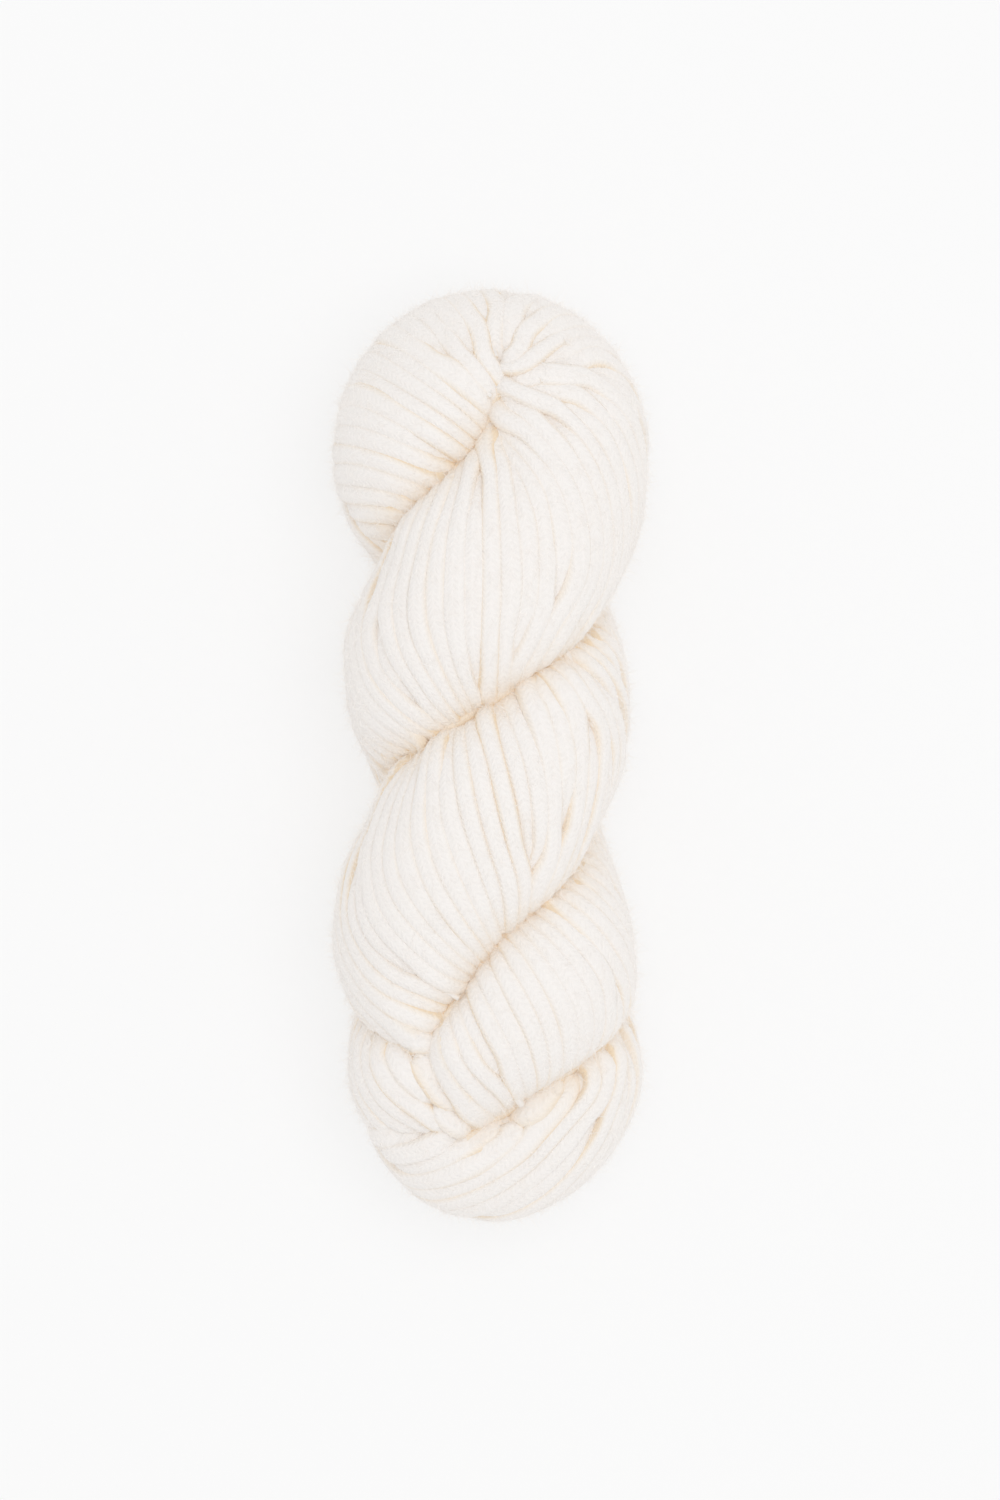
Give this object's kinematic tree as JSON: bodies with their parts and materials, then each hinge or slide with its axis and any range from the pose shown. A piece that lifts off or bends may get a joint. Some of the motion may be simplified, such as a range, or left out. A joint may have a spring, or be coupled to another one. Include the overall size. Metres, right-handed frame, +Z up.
{
  "type": "yarn hank",
  "caption": "Soft twisted hank of thick cream yarn: a skein folded in half, its halves wound round each other, the end tucked through the loop.",
  "frame": {"origin": "centre of the hank's footprint, on the surface that it lies on", "axes": "+Y along the hank towards its fold, +Z up from the surface, +X to the right when it is seen from above with the fold at the far end"},
  "size_m": [0.0886, 0.26, 0.0741],
  "materials": {
    "yarn": "soft matt cream chain-knit yarn, slightly fuzzy"
  },
  "bodies": {
    "root": {"hank": "yarn"}
  },
  "joints": []
}
